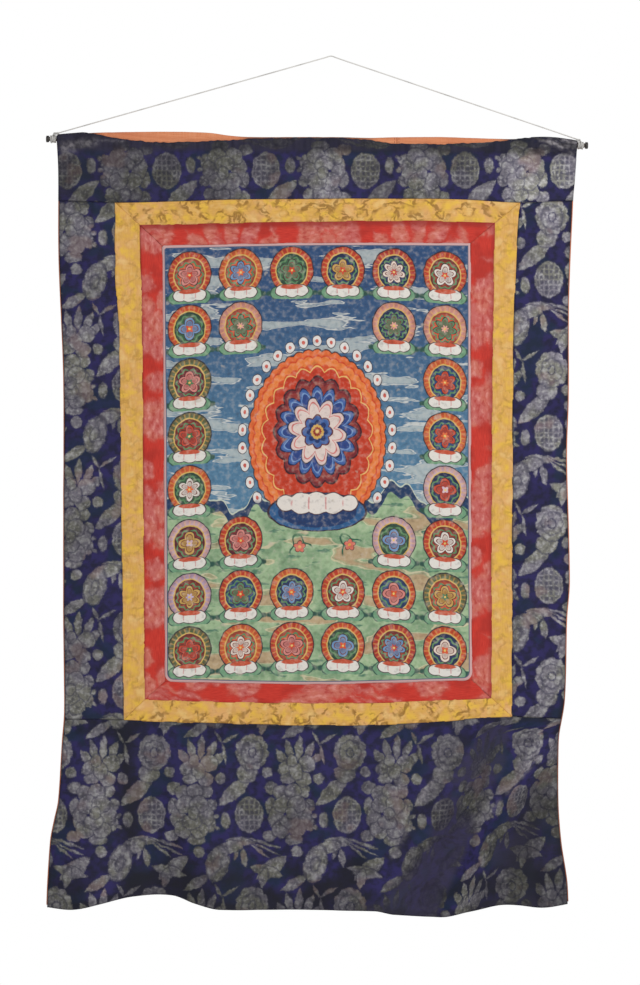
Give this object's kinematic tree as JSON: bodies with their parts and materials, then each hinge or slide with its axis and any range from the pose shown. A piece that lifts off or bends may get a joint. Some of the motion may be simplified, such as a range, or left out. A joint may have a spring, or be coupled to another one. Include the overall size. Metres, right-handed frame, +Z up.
{
  "type": "thangka scroll painting in a brocade mount, hung from a rod by a cord",
  "caption": "Hanging scroll: a painted canvas edged in red and yellow silk, sewn into a blue brocade mount with an orange lining, held by a rod in its sleeve and a cord.",
  "frame": {"origin": "where the cord crosses the nail that holds the scroll up", "axes": "+X to the right as seen from the front, +Z up, and the painted front faces -Y"},
  "size_m": [0.7587, 0.0283, 1.2047],
  "materials": {
    "painted_canvas": "matt painted canvas",
    "red_silk": "figured red silk",
    "yellow_silk": "figured yellow silk",
    "blue_brocade": "navy satin brocade with dull silver figures",
    "orange_lining": "plain cotton",
    "rod_wood": "worn wood",
    "cap_wood": "dark stained wood",
    "cord": "twisted pale string"
  },
  "bodies": {
    "root": {"painted_canvas": "painted_canvas", "red_border_top": "red_silk", "red_border_right": "red_silk", "red_border_bottom": "red_silk", "red_border_left": "red_silk", "yellow_border_top": "yellow_silk", "yellow_border_right": "yellow_silk", "yellow_border_bottom": "yellow_silk", "yellow_border_left": "yellow_silk", "brocade_top": "blue_brocade", "brocade_right": "blue_brocade", "brocade_bottom": "blue_brocade", "brocade_left": "blue_brocade", "back_lining": "orange_lining", "hanging_rod": "rod_wood", "rod_cap_left": "cap_wood", "rod_cap_right": "cap_wood", "cord_lashing_left": "cord", "cord_lashing_right": "cord", "hanging_cord": "cord"}
  },
  "joints": []
}
